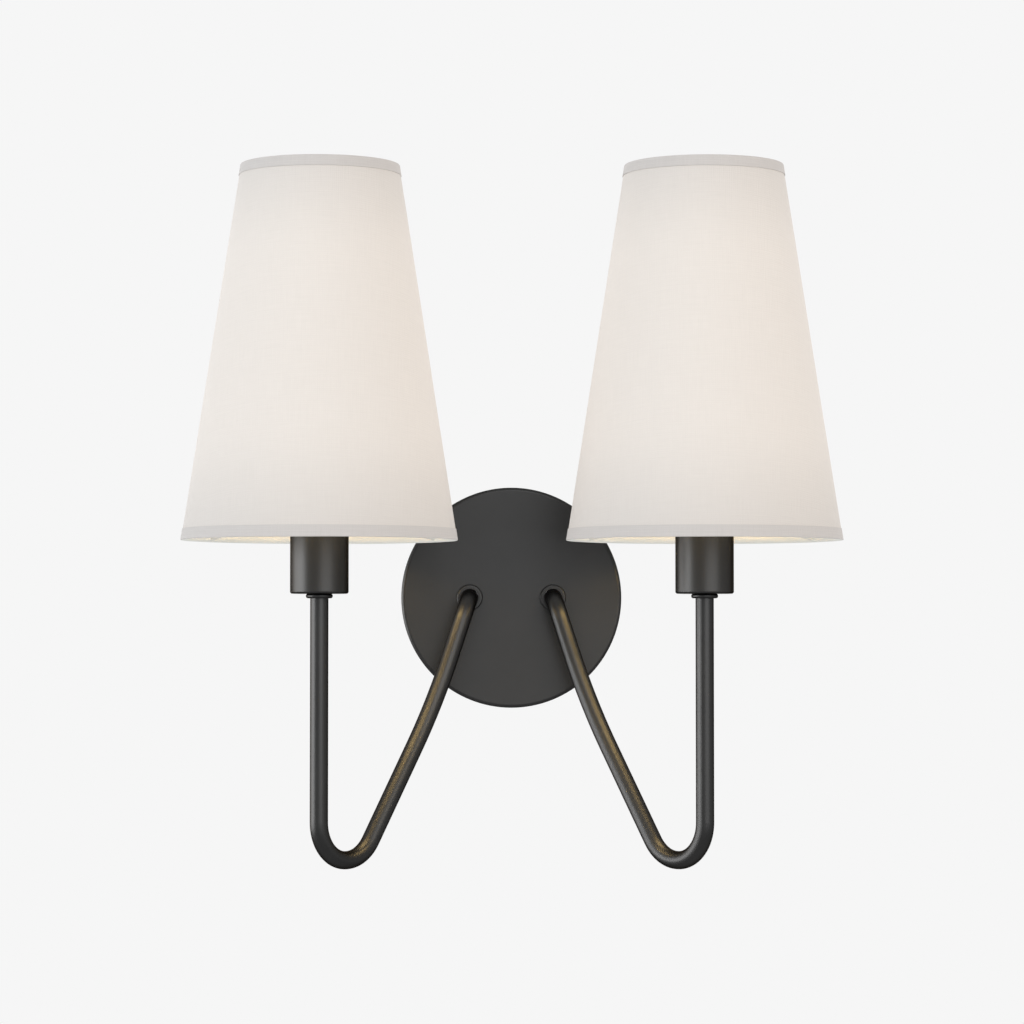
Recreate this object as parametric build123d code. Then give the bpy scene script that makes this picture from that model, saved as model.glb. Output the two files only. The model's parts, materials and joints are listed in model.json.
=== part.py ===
from build123d import *
import math
import os

# A double arm wall sconce, in millimetres.
# The origin is the centre of the canopy's open back, on the wall. The wall is the plane
# Y = 0, +X runs to the right as one faces the sconce, -Y runs out into the room, +Z is up.
# Each piece is a separate solid, and the two lights are mirror images about X = 0.

# ---- driving dimensions: the canopy and what hides in it ----
canopy_diameter = 127.0
canopy_depth = 20.0
canopy_wall = 1.2
canopy_edge_radius = 2.0
least_inside_radius = 0.3
crossbar_width = 20.0
crossbar_thickness = 2.0
crossbar_tab_width = 14.0
crossbar_tab_depth = 14.5
crossbar_bend_radius = 1.0
tab_gap = 0.3
box_screw_spacing_small = 69.85
box_screw_spacing_large = 88.9
box_slot_width = 4.8
grub_screw_diameter = 4.0
grub_screw_length = 9.0
grub_screw_sunk = 0.6
grub_socket_size = 2.0
grub_socket_depth = 2.5
ground_screw_drop = 20.0
ground_screw_head_diameter = 8.0
ground_screw_head_height = 2.4
ground_screw_slot_width = 1.0

# ---- driving dimensions: the bent arms ----
tube_diameter = 10.0
tube_wall = 1.0
arm_exit_offset = 24.0
arm_spread = 105.3
arm_reach = 120.0
arm_drop = 145.3
exit_run = 18.0
exit_bend_radius = 16.0
sway_out = 19.2
sway_forward = 28.0
sway_drop = 59.5
sway_bend_radius = 190.0
hook_width = 34.3
hook_radius = 21.6
hook_flat = 0.5
arm_thread_inside = 7.4
exit_collar_rim = 2.5
exit_collar_thickness = 2.4
exit_collar_rounding = 1.0
exit_collar_undercut = 0.5
arm_nut_flat = 2.0
arm_nut_thickness = 3.4
arm_nut_corner_share = 1.12
lock_washer_thickness = 0.8
lock_washer_rim = 3.0
lock_washer_teeth = 12

# ---- driving dimensions: the wiring ----
wire_diameter = 2.1
wire_half_spacing = 1.9
terminal_thickness = 0.8
terminal_rim = 2.2
terminal_barrel_wall = 0.7
terminal_barrel_length = 5.0
screw_terminal_reach = 6.5
arm_terminal_reach = 9.6
ground_wire_slack = 8.0
ground_wire_low_share = 0.7
connector_mouth_diameter = 12.0
connector_tip_diameter = 8.0
connector_length = 20.0
connector_rim_height = 4.0
connector_wall = 1.6
connector_bore_depth = 13.0
connector_grip = 0.25
connector_grooves = 12
connector_groove_radius = 0.9
connector_groove_depth = 0.5
connector_height = 17.0
connector_offset = 13.0
wire_pair_spacing = 2.6
wire_entry = 11.0
wire_lead_out = 6.0
wire_turn_room = 5.5
wire_bend_radius = 4.2
terminal_lead_in = 2.4
tail_below = 1.0

# ---- driving dimensions: the lampholder and its cup ----
cup_bottom_height = 1.0
cup_height = 43.0
cup_wall = 1.0
cup_floor = 1.2
cup_rounding = 1.2
neck_collar_rim = 2.35
neck_collar_height = 2.5
neck_collar_rounding = 1.15
holder_diameter = 27.0
holder_air_gap = 1.5
holder_waist = 1.0
holder_skirt_overlap = 4.0
holder_mouth_chamfer = 0.6
holder_thread_pitch = 2.5
holder_ridge_depth = 0.45
tube_end_room = 0.6
holder_height = 58.0
holder_thread_depth = 7.5
holder_chamber_radius = 7.0
holder_chamber_height = 7.0
holder_web = 9.0
shell_wall = 0.35
shell_depth = 27.0
contact_radius = 2.4
contact_thickness = 0.5
tail_offset = 4.4
tail_width = 1.8
tail_thickness = 0.6
shade_ring_rim = 4.5
shade_ring_height = 5.0
shade_ring_grips = 24
shade_ring_grip_radius = 1.0
shade_ring_grip_depth = 0.6

# ---- driving dimensions: the lamp ----
lamp_base_diameter = 11.9
lamp_base_height = 20.0
lamp_thread_pitch = 2.54
lamp_thread_depth = 0.4
lamp_cap_wall = 0.8
lamp_tip_radius = 2.4
lamp_tip_rounding = 0.6
lamp_insulator_height = 4.4
lamp_glass_diameter = 35.0
lamp_glass_height = 80.0
lamp_glass_wall = 0.8
lamp_neck_diameter = 11.0
lamp_neck_share = 0.1
lamp_belly_share = 0.42
lamp_stem_share = 0.3
filament_length = 30.0
filament_diameter = 1.6
filament_circle = 4.5
filament_count = 4
filament_wire = 0.6
stem_radius = 1.6
stem_flare_height = 6.0

# ---- driving dimensions: the shade ----
shade_bottom_diameter = 151.5
shade_top_diameter = 87.5
shade_height = 206.0
shade_bottom_height = 30.2
shade_panel_thickness = 0.9
trim_thickness = 0.45
top_trim_height = 5.9
bottom_trim_height = 6.3
hoop_wire = 2.5
fitter_thickness = 1.5
spoke_wire = 2.5
spoke_count = 3
spoke_level_run = 9.0
spoke_knee_radius = 8.0
hoop_lap_share = 0.25

# ---- the thread of the lamp and of the lampholder's skirt: a crest's start, its end and its foot ----
ridge_shares = (0.35, 0.6, 0.95)

# ---- fits, measured on the radius or between two faces ----
thread_fit = 0.05
sliding_fit = 0.15
face_fit = 0.05
lamp_fit = 0.10
weld_overlap = 0.3
seat_gap = 0.10

# ---- places worked out from the driving dimensions ----
tube_radius = tube_diameter / 2
tube_bore_radius = tube_radius - tube_wall
canopy_inner_face = -(canopy_depth - canopy_wall)
canopy_inner_radius = canopy_diameter / 2 - canopy_wall
tube_inner_end = canopy_inner_face + arm_thread_inside
grub_screw_y = -canopy_depth / 2
tab_face = math.sqrt((canopy_inner_radius - tab_gap) ** 2 - (crossbar_tab_width / 2) ** 2)
box_slot_centre = (box_screw_spacing_small + box_screw_spacing_large) / 4
box_slot_length = (box_screw_spacing_large - box_screw_spacing_small) / 2 + box_slot_width
cup_inner_radius = holder_diameter / 2 + holder_air_gap
cup_radius = cup_inner_radius + cup_wall
cup_rim_height = cup_bottom_height + cup_height
holder_bottom = cup_bottom_height + cup_floor + face_fit
holder_top = holder_bottom + holder_height
tube_top = holder_bottom + holder_thread_depth
chamber_top = tube_top + holder_chamber_height
web_top = chamber_top + holder_web
shell_bottom = web_top + face_fit
shell_radius = lamp_base_diameter / 2 + lamp_fit
lamp_tip_height = shell_bottom + shell_wall + contact_thickness + seat_gap
lamp_base_top = lamp_tip_height + lamp_base_height
fitter_bottom = cup_rim_height + seat_gap
fitter_top = fitter_bottom + fitter_thickness
shade_top_height = shade_bottom_height + shade_height
shade_lean = math.atan((shade_bottom_diameter - shade_top_diameter) / 2 / shade_height)
socket_place = Location((arm_spread, -arm_reach, 0))
connector_y = canopy_inner_face / 2
arm_terminal_face = canopy_inner_face + lock_washer_thickness + face_fit
rear_crossing = Vector(2.0, connector_y + 4.4, 1.5)
front_crossing = Vector(2.0, connector_y - 2.4, 7.0)

# A blank stands on its lower face, hangs from its upper face, or runs along +X from its inner face.
standing = (Align.CENTER, Align.CENTER, Align.MIN)
hanging = (Align.CENTER, Align.CENTER, Align.MAX)
running_out = (Align.MIN, Align.CENTER, Align.MIN)


def ring(outer_radius, inner_radius, low, high):
    """A plain washer about the Z axis from one height to another."""
    blank = Cylinder(outer_radius, high - low, align=standing)
    hole = Cylinder(inner_radius, high - low, align=standing)
    return Pos(0, 0, low) * (blank - hole)


def turned(points):
    """A solid of revolution about the Z axis from (radius, height) points."""
    return revolve(make_face(Plane.XZ * Polyline(*points, close=True)), Axis.Z)


def ridges(low, high, crest, depth, pitch):
    """The upward outline of the ridges that stand for a screw thread, as (radius, height) points."""
    points = []
    for turn in range(int((high - low) / pitch)):
        for radius, share in zip((crest, crest, crest - depth), ridge_shares):
            points.append((radius, low + (turn + share) * pitch))
    return points


def out_of_wall(shape):
    """Turn a piece that was made along +Z so that it points out of the wall, along -Y."""
    return Rot(90, 0, 0) * shape


def piped(path, radius):
    """A round bar along a path."""
    return sweep(Plane(origin=path @ 0, z_dir=path % 0) * Circle(radius), path=path)


def both_sides(shape):
    """The right-hand piece as made, and its mirror image for the left."""
    return {"right": shape, "left": mirror(shape, about=Plane.YZ)}


# ---- wall canopy: a shallow round pan, open towards the wall ----
def wall_canopy():
    blank = Cylinder(canopy_diameter / 2, canopy_depth, align=standing)
    blank = fillet(blank.edges().sort_by(Axis.Z)[-1], canopy_edge_radius)
    inside_depth = canopy_depth - canopy_wall
    inside = Cylinder(canopy_inner_radius, inside_depth, align=standing)
    inside_radius = max(canopy_edge_radius - canopy_wall, least_inside_radius)
    inside = fillet(inside.edges().sort_by(Axis.Z)[-1], inside_radius)
    pan = out_of_wall(blank - inside)
    for side in (-1, 1):
        exit_hole = out_of_wall(Cylinder(tube_radius + sliding_fit, 3 * canopy_depth))
        pan -= Pos(side * arm_exit_offset, 0, 0) * exit_hole
        screw_hole = Cylinder(grub_screw_diameter / 2 + sliding_fit, 6 * canopy_wall)
        pan -= Pos(0, grub_screw_y, side * canopy_diameter / 2) * screw_hole
    return pan


# ---- crossbar: a slotted strip flat on the wall, its two ends bent out into tabs ----
def crossbar():
    along_bar = Plane.YZ.offset(-crossbar_width / 2)
    outline = along_bar * Pos(-crossbar_tab_depth / 2, 0) * Rectangle(crossbar_tab_depth, 2 * tab_face)
    block = extrude(outline, crossbar_width)
    back_edges = block.edges().filter_by(Axis.X).group_by(Axis.Y)[-1]
    block = fillet(back_edges, crossbar_bend_radius + crossbar_thickness)
    gap_height = 2 * (tab_face - crossbar_thickness)
    gap_sketch = along_bar * Pos(-crossbar_tab_depth, 0)
    gap_sketch *= Rectangle(2 * (crossbar_tab_depth - crossbar_thickness), gap_height)
    gap = extrude(gap_sketch, crossbar_width)
    gap = fillet(gap.edges().filter_by(Axis.X).group_by(Axis.Y)[-1], crossbar_bend_radius)
    bar = block - gap
    shoulder = crossbar_bend_radius + crossbar_thickness
    waste = (crossbar_width - crossbar_tab_width) / 2
    for side_x in (-1, 1):
        for side_z in (-1, 1):
            notch = Box(waste, 2 * crossbar_tab_depth, 2 * shoulder)
            bar -= Pos(side_x * (crossbar_width - waste) / 2, 0, side_z * tab_face) * notch
    for side in (-1, 1):
        slot_outline = Plane.XZ * SlotOverall(box_slot_length, box_slot_width, rotation=90)
        slot = extrude(slot_outline, crossbar_thickness)
        bar -= Pos(0, 0, side * box_slot_centre) * slot
        tapped = Cylinder(grub_screw_diameter / 2 + thread_fit, 4 * crossbar_thickness)
        bar -= Pos(0, grub_screw_y, side * tab_face) * tapped
    ground_hole = out_of_wall(Cylinder(grub_screw_diameter / 2 + thread_fit, 4 * crossbar_thickness))
    return bar - Pos(0, 0, -ground_screw_drop) * ground_hole


# ---- grub screws: through the canopy's side into the crossbar's tabs ----
def canopy_grub_screws():
    radius = grub_screw_diameter / 2
    outer_end = canopy_diameter / 2 - grub_screw_sunk
    shank = Cylinder(radius, grub_screw_length, align=hanging)
    shank = chamfer(shank.edges().group_by(Axis.Z)[0], radius / 2)
    socket_sketch = Pos(0, 0, -grub_socket_depth) * RegularPolygon(grub_socket_size / math.sqrt(3), 6)
    screw = shank - extrude(socket_sketch, grub_socket_depth)
    upper = Pos(0, grub_screw_y, outer_end) * screw
    return Compound(children=[upper, mirror(upper, about=Plane.XY)])


# ---- ground screw: a slotted round head that clamps a ring terminal on the crossbar ----
def ground_screw():
    shank_length = crossbar_thickness + terminal_thickness - 2 * face_fit
    head_start = crossbar_thickness + terminal_thickness + 2 * face_fit
    head = Cylinder(ground_screw_head_diameter / 2, ground_screw_head_height, align=standing)
    head = fillet(head.edges().sort_by(Axis.Z)[-1], ground_screw_head_height / 3)
    slot = Box(2 * ground_screw_head_diameter, ground_screw_slot_width, ground_screw_head_height)
    head -= Pos(0, 0, ground_screw_head_height) * slot
    shank = Cylinder(grub_screw_diameter / 2, shank_length + 2 * face_fit, align=hanging)
    screw = Pos(0, 0, head_start) * (head + shank)
    return Pos(0, 0, -ground_screw_drop) * out_of_wall(screw)


# ---- bent arm: out of the canopy, down and outward, round the hook and up to the socket ----
hook_low = Vector(arm_spread, -arm_reach, -arm_drop)
sway_point = Vector(arm_exit_offset + sway_out, -(canopy_depth + sway_forward), -sway_drop)
exit_corner = Vector(arm_exit_offset, -(canopy_depth + exit_run), 0)
towards_wall = Vector(sway_point.X - hook_low.X, sway_point.Y - hook_low.Y, 0).normalized()
across_arm = towards_wall.cross(Vector(0, 0, 1))
hook_corner = hook_low + towards_wall * hook_width
hook_turn = math.radians(towards_wall.get_angle(sway_point - hook_corner))
hook_second_radius = (hook_width - hook_radius - hook_flat) / math.tan(hook_turn / 2)
contact_frame = Location(Plane(origin=(0, 0, shell_bottom), x_dir=across_arm, z_dir=(0, 0, 1)))


def arm_route(tube_end, socket_end, offset=0.0):
    """The middle of the tube, or a line beside it for a wire, from canopy to socket."""
    beside = across_arm * offset
    beside_exit = Vector(offset, 0, 0)
    return [
        Vector(arm_exit_offset, tube_end, 0) + beside_exit,
        exit_corner + beside_exit,
        sway_point + beside,
        hook_corner + beside,
        hook_low + beside,
        Vector(arm_spread, -arm_reach, socket_end) + beside,
    ]


arm_radii = [exit_bend_radius, sway_bend_radius, hook_second_radius, hook_radius]


def arm_tube():
    path = FilletPolyline(*arm_route(tube_inner_end, tube_top), radius=arm_radii)
    start = Plane(origin=path @ 0, z_dir=path % 0)
    tube = sweep(start * (Circle(tube_radius) - Circle(tube_bore_radius)), path=path)
    section = math.pi * (tube_radius**2 - tube_bore_radius**2)
    print("arm tube volume over section times length", round(tube.volume / (section * path.length), 5))
    return tube


def exit_collar():
    outer = tube_radius + exit_collar_rim
    collar = Cylinder(outer, exit_collar_thickness, align=standing)
    back = collar.edges().filter_by(GeomType.CIRCLE).sort_by(Axis.Z)[0]
    collar = chamfer(back, exit_collar_undercut)
    collar = fillet(collar.edges().sort_by(Axis.Z)[-1], exit_collar_rounding)
    collar -= Cylinder(tube_radius + thread_fit, 4 * exit_collar_thickness)
    return Pos(arm_exit_offset, -canopy_depth, 0) * out_of_wall(collar)


def arm_lock_washer():
    """A toothed ring against the inside of the canopy."""
    outer = tube_radius + lock_washer_rim
    washer = ring(outer, tube_radius + sliding_fit, 0, lock_washer_thickness)
    for tooth in range(lock_washer_teeth):
        notch = Box(lock_washer_rim / 2, lock_washer_rim / 2, 4 * lock_washer_thickness)
        washer -= Rot(0, 0, tooth * 360 / lock_washer_teeth) * Pos(outer, 0, 0) * notch
    inside = canopy_inner_face + lock_washer_thickness
    return Pos(arm_exit_offset, inside, 0) * out_of_wall(washer)


def arm_nut(stack):
    """A thin hexagon nut on the tube's thread, with the given height of washers under it."""
    across_flats = 2 * tube_radius + 2 * arm_nut_flat
    blank = extrude(RegularPolygon(across_flats / math.sqrt(3), 6), arm_nut_thickness)
    blank = blank & Cylinder(across_flats / 2 * arm_nut_corner_share, 4 * arm_nut_thickness)
    nut = blank - Cylinder(tube_radius + thread_fit, 4 * arm_nut_thickness)
    face = canopy_inner_face + stack + arm_nut_thickness
    return Pos(arm_exit_offset, face, 0) * out_of_wall(nut)


# ---- wiring: two leads through each tube, joined in the canopy by two connectors ----
def lead(tube_side, crossing):
    """A lead from its connector, through the tube, to the lampholder's terminal.

    tube_side is -1 for the lead on the inner side of the tube, which crosses the canopy to the
    connector on the other side, and +1 for the outer one, which goes to the nearer connector.
    """
    offset = tube_side * wire_half_spacing
    mouth_x = tube_side * connector_offset + wire_pair_spacing / 2
    route = [
        Vector(mouth_x, connector_y, connector_height + wire_entry),
        Vector(mouth_x, connector_y, connector_height - wire_lead_out),
    ]
    radii = [wire_bend_radius] * 2
    if tube_side < 0:
        route.append(crossing)
        radii.append(wire_bend_radius)
    route += arm_route(tube_inner_end + wire_turn_room, tube_top, offset)
    terminal = Vector(arm_spread, -arm_reach, chamber_top - tail_below)
    terminal += across_arm * (tube_side * tail_offset)
    route += [terminal - Vector(0, 0, terminal_lead_in), terminal]
    radii += arm_radii + [wire_bend_radius] * 2
    return piped(FilletPolyline(*route, radius=radii), wire_diameter / 2)


def wire_connector():
    """A tapered, grooved twist-on cap, mouth downward, that narrows inside to grip two leads."""
    mouth, tip = connector_mouth_diameter / 2, connector_tip_diameter / 2
    rim, top = connector_rim_height, connector_length
    cap = turned([(0, 0), (mouth, 0), (mouth, rim), (tip, top), (0, top)])
    cap = fillet(cap.edges().sort_by(Axis.Z)[-1], tip / 2)
    taper = math.degrees(math.atan((mouth - tip) / (top - rim)))
    groove = Rot(0, -taper, 0) * Cylinder(connector_groove_radius, 4 * connector_length)
    groove = Pos(mouth + connector_groove_radius - connector_groove_depth, 0, rim) * groove
    for number in range(connector_grooves):
        cap -= Rot(0, 0, number * 360 / connector_grooves) * groove
    throat = (wire_pair_spacing + wire_diameter) / 2 + connector_grip
    bore = turned(
        [
            (0, 0),
            (mouth - connector_wall, 0),
            (throat, rim),
            (throat, connector_bore_depth),
            (0, connector_bore_depth),
        ]
    )
    return Pos(connector_offset, connector_y, connector_height) * (cap - bore)


# ---- neck collar and socket cup ----
def neck_collar():
    outer = tube_radius + neck_collar_rim
    blank = Cylinder(outer, neck_collar_height, align=standing)
    blank = Pos(0, 0, cup_bottom_height - neck_collar_height) * blank
    blank = fillet(blank.edges().filter_by(GeomType.CIRCLE), neck_collar_rounding)
    return blank - Cylinder(tube_radius + thread_fit, 8 * neck_collar_height)


def socket_cup():
    blank = Cylinder(cup_radius, cup_height, align=standing)
    blank = fillet(blank.edges().sort_by(Axis.Z)[0], cup_rounding)
    inside = Pos(0, 0, cup_floor) * Cylinder(cup_inner_radius, cup_height, align=standing)
    cup = blank - inside - Cylinder(tube_radius + sliding_fit, 4 * cup_floor)
    return Pos(0, 0, cup_bottom_height) * cup


# ---- lampholder: threaded on the tube, with a chamber for the wires and a well for the lamp ----
def lampholder():
    body_radius = holder_diameter / 2
    waist_radius = body_radius - holder_waist
    root_radius = body_radius - holder_ridge_depth
    skirt_bottom = cup_rim_height - holder_skirt_overlap
    thread_low, thread_high = skirt_bottom + holder_waist, holder_top - holder_mouth_chamfer
    well_radius = shell_radius + shell_wall + face_fit
    body = turned(
        [
            (tube_radius + thread_fit, holder_bottom),
            (waist_radius, holder_bottom),
            (waist_radius, skirt_bottom),
            (root_radius, thread_low),
            *ridges(thread_low, thread_high, body_radius, holder_ridge_depth, holder_thread_pitch),
            (root_radius, thread_high),
            (root_radius - holder_mouth_chamfer, holder_top),
            (well_radius, holder_top),
            (well_radius, web_top),
            (0, web_top),
            (0, chamber_top),
            (holder_chamber_radius, chamber_top),
            (holder_chamber_radius, tube_top + tube_end_room),
            (tube_radius + thread_fit, tube_top + tube_end_room),
        ]
    )
    for side in (-1, 1):
        passage = Box(tail_thickness + 2 * sliding_fit, tail_width + 2 * sliding_fit, 3 * holder_web)
        body -= contact_frame * Pos(side * tail_offset, 0, 0) * passage
    return body


def tail(side):
    """The flat tail of a contact, through the web to the end of its wire."""
    height = holder_web + tail_below - 2 * face_fit
    strip = Box(tail_thickness, tail_width, height, align=hanging)
    return contact_frame * Pos(side * tail_offset, 0, 0) * strip


def screw_shell(side):
    outer = shell_radius + shell_wall
    wall = ring(outer, shell_radius, shell_bottom, shell_bottom + shell_depth)
    foot_start = tail_offset - tail_thickness / 2
    foot = Box(outer - foot_start, tail_width, shell_wall, align=standing)
    foot = contact_frame * Pos(side * (outer + foot_start) / 2, 0, 0) * foot
    foot = foot & Pos(0, 0, shell_bottom) * Cylinder(outer, 4 * shell_wall)
    return wall + foot + tail(side)


def centre_contact(side):
    leaf_length = tail_offset + tail_thickness / 2
    leaf = Box(leaf_length, tail_width, shell_wall, align=standing)
    leaf = contact_frame * Pos(side * leaf_length / 2, 0, 0) * leaf
    disc = Cylinder(contact_radius, shell_wall + contact_thickness, align=standing)
    disc = Pos(0, 0, shell_bottom) * disc
    return leaf + disc + tail(side)


def shade_ring():
    """The round nut on the skirt, with grip notches round its rim."""
    outer = holder_diameter / 2 + shade_ring_rim
    low = fitter_top + seat_gap
    nut = ring(outer, holder_diameter / 2 + thread_fit, low, low + shade_ring_height)
    for grip in range(shade_ring_grips):
        notch = Cylinder(shade_ring_grip_radius, 3 * shade_ring_height)
        notch = Pos(outer + shade_ring_grip_radius - shade_ring_grip_depth, 0, low) * notch
        nut -= Rot(0, 0, grip * 360 / shade_ring_grips) * notch
    return nut


# ---- lamp: screw base with its tip, glass envelope, filaments on their stem ----
def lamp_base():
    """The screw cap with ridges round it, the insulator cone under it, and the tip."""
    crest = lamp_base_diameter / 2
    root = crest - lamp_thread_depth
    thread_low = lamp_tip_height + lamp_insulator_height
    points = [
        (0, lamp_tip_height),
        (lamp_tip_radius - lamp_tip_rounding, lamp_tip_height),
        (lamp_tip_radius, lamp_tip_height + lamp_tip_rounding),
        (lamp_tip_radius, lamp_tip_height + 2 * lamp_tip_rounding),
        (root, thread_low),
    ]
    points += ridges(thread_low, lamp_base_top, crest, lamp_thread_depth, lamp_thread_pitch)
    inside = root - lamp_cap_wall
    points += [(root, lamp_base_top), (inside, lamp_base_top), (inside, thread_low + lamp_cap_wall)]
    points += [(0, thread_low + lamp_cap_wall)]
    return turned(points)


def glass_outline(inset):
    """The upright outline of the glass, drawn in by the wall's thickness."""
    low = lamp_base_top + seat_gap
    neck, belly = lamp_neck_diameter / 2 - inset, lamp_glass_diameter / 2 - inset
    belly_height = low + lamp_glass_height * lamp_belly_share
    top = low + lamp_glass_height - inset
    mouth = (neck, low)
    shoulder = (neck, low + lamp_glass_height * lamp_neck_share)
    lower = Spline(shoulder, (belly, belly_height), tangents=[(0, 1), (0, 1)])
    upper = Spline((belly, belly_height), (0, top), tangents=[(0, 1), (-1, 0.25)])
    return Line((0, low), mouth) + Line(mouth, shoulder) + lower + upper + Line((0, top), (0, low))


def lamp_glass():
    outside = revolve(make_face(Plane.XZ * glass_outline(0)), Axis.Z)
    inside = revolve(make_face(Plane.XZ * glass_outline(lamp_glass_wall)), Axis.Z)
    return outside - inside


def lamp_filaments():
    """A glass stem with its flare, and the upright filaments on their wires."""
    low = lamp_base_top + seat_gap
    stem_top = low + lamp_glass_height * lamp_stem_share
    flare_radius = lamp_neck_diameter / 2 - lamp_glass_wall - seat_gap
    profile = [
        (0, low),
        (flare_radius, low),
        (flare_radius, low + stem_radius),
        (stem_radius, low + stem_flare_height),
        (stem_radius, stem_top + filament_wire),
        (0, stem_top + filament_wire),
    ]
    assembly = turned(profile)
    for number in range(filament_count):
        arm = Box(filament_circle, filament_wire, filament_wire, align=running_out)
        strip = Cylinder(filament_diameter / 2, filament_length, align=standing)
        strip = Pos(filament_circle, 0, 0) * strip
        assembly += Pos(0, 0, stem_top) * Rot(0, 0, 45 + number * 360 / filament_count) * (arm + strip)
    return assembly


# ---- shade: a stiff cone of linen, two hoops inside it, two folded tapes over its edges ----
def cone_radius(height):
    """The radius of the trims' outer face at a height above the canopy's centre."""
    share = (height - shade_bottom_height) / shade_height
    return (shade_bottom_diameter + share * (shade_top_diameter - shade_bottom_diameter)) / 2


wall_step = 1 / math.cos(shade_lean)
panel_out = trim_thickness * wall_step
panel_in = panel_out + shade_panel_thickness * wall_step
panel_low = shade_bottom_height + trim_thickness + face_fit
panel_high = shade_top_height - trim_thickness - face_fit
hoop_clear = hoop_wire / 2 * wall_step + sliding_fit
bottom_hoop_height = panel_low + hoop_wire / 2
top_hoop_height = panel_high - hoop_wire / 2
bottom_hoop_radius = cone_radius(bottom_hoop_height) - panel_in - hoop_clear
top_hoop_radius = cone_radius(top_hoop_height) - panel_in - hoop_clear


def shade_panel():
    gap = face_fit * wall_step
    return turned(
        [
            (cone_radius(panel_low) - panel_out - gap, panel_low),
            (cone_radius(panel_high) - panel_out - gap, panel_high),
            (cone_radius(panel_high) - panel_in, panel_high),
            (cone_radius(panel_low) - panel_in, panel_low),
        ]
    )


def folded_trim(edge, inward, height, hoop_radius):
    """A tape outside the panel that turns over its edge and under the hoop; inward is +1 at the bottom."""
    band_end = edge + inward * height
    lip = edge + inward * trim_thickness
    hoop_side = hoop_radius - hoop_wire * hoop_lap_share
    return turned(
        [
            (hoop_side, edge),
            (cone_radius(edge), edge),
            (cone_radius(band_end), band_end),
            (cone_radius(band_end) - panel_out, band_end),
            (cone_radius(lip) - panel_out, lip),
            (hoop_side, lip),
        ]
    )


def shade_top_hoop():
    return Pos(0, 0, top_hoop_height) * Torus(top_hoop_radius, hoop_wire / 2)


def shade_bottom_hoop():
    return Pos(0, 0, bottom_hoop_height) * Torus(bottom_hoop_radius, hoop_wire / 2)


def shade_seat_ring():
    """The flat ring that sits on the cup's rim, under the shade ring."""
    outer = holder_diameter / 2 + shade_ring_rim
    return ring(outer, holder_diameter / 2 + 2 * sliding_fit, fitter_bottom, fitter_top)


def shade_spokes():
    """Three bent wires, each welded under the seat ring and against the bottom hoop."""
    spoke_height = fitter_bottom - spoke_wire / 2 + weld_overlap
    inner_end = Vector(holder_diameter / 2 + shade_ring_rim - spoke_wire / 2, 0, spoke_height)
    knee = inner_end + Vector(spoke_level_run, 0, 0)
    outer_end = Vector(bottom_hoop_radius, 0, bottom_hoop_height)
    spoke = piped(FilletPolyline(inner_end, knee, outer_end, radius=[spoke_knee_radius]), spoke_wire / 2)
    spoke -= shade_seat_ring()
    spoke -= shade_bottom_hoop()
    turns = [number * 360 / spoke_count - 90 for number in range(spoke_count)]
    return Compound(children=[Rot(0, 0, turn) * spoke for turn in turns])


# ---- earthing: a green wire from the crossbar's screw to a ring under the right arm's nut ----
def ring_terminal(hole_radius, reach):
    """A stamped ring with a crimp barrel below it, flat against the piece behind."""
    barrel_radius = wire_diameter / 2 + terminal_barrel_wall
    plate = ring(hole_radius + terminal_rim, hole_radius, 0, terminal_thickness)
    tongue = Pos(0, -reach / 2, 0) * Box(2 * barrel_radius, reach, terminal_thickness, align=standing)
    tongue -= Cylinder(hole_radius, 4 * terminal_thickness)
    barrel = Rot(90, 0, 0) * ring(barrel_radius, wire_diameter / 2 + thread_fit, 0, terminal_barrel_length)
    barrel = Pos(0, face_fit - reach, barrel_radius) * barrel
    return plate + tongue + barrel


def ground_terminals():
    small = Rot(90, 0, 0) * ring_terminal(grub_screw_diameter / 2 + sliding_fit, screw_terminal_reach)
    small = Pos(0, -crossbar_thickness - face_fit, -ground_screw_drop) * small
    large = mirror(ring_terminal(tube_radius + sliding_fit, arm_terminal_reach), about=Plane.XY)
    large = Pos(arm_exit_offset, arm_terminal_face, 0) * Rot(90, 0, 0) * large
    return Compound(children=[small, large])


def ground_wire():
    lift = wire_diameter / 2 + terminal_barrel_wall
    crimped = terminal_barrel_length / 3
    screw_y = -crossbar_thickness - face_fit - lift
    arm_y = arm_terminal_face + lift
    screw_end = Vector(0, screw_y, -ground_screw_drop - screw_terminal_reach - crimped)
    arm_end = Vector(arm_exit_offset, arm_y, -arm_terminal_reach - crimped)
    low_x, low_z = arm_exit_offset * ground_wire_low_share, screw_end.Z - ground_wire_slack
    lowest = Vector(low_x, (screw_y + arm_y) / 2, low_z)
    route = [
        screw_end,
        screw_end - Vector(0, 0, terminal_barrel_length + wire_bend_radius),
        lowest,
        arm_end - Vector(0, 0, terminal_barrel_length + 2 * wire_bend_radius),
        arm_end,
    ]
    return piped(FilletPolyline(*route, radius=[wire_bend_radius] * 3), wire_diameter / 2)


# ---- the pieces at the wall, each under its node's name ----
washer_stack = lock_washer_thickness + face_fit
terminal_stack = washer_stack + terminal_thickness + face_fit
right_nut, left_nut = arm_nut(terminal_stack), mirror(arm_nut(washer_stack), about=Plane.YZ)
pieces = {
    "wall_canopy": wall_canopy(),
    "crossbar": crossbar(),
    "canopy_grub_screws": canopy_grub_screws(),
    "ground_screw": ground_screw(),
    "ground_terminals": ground_terminals(),
    "ground_wire": ground_wire(),
    "arm_nuts": Compound(children=[right_nut, left_nut]),
    "arm_lock_washers": Compound(children=list(both_sides(arm_lock_washer()).values())),
    "wire_connectors": Compound(children=list(both_sides(wire_connector()).values())),
}

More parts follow.
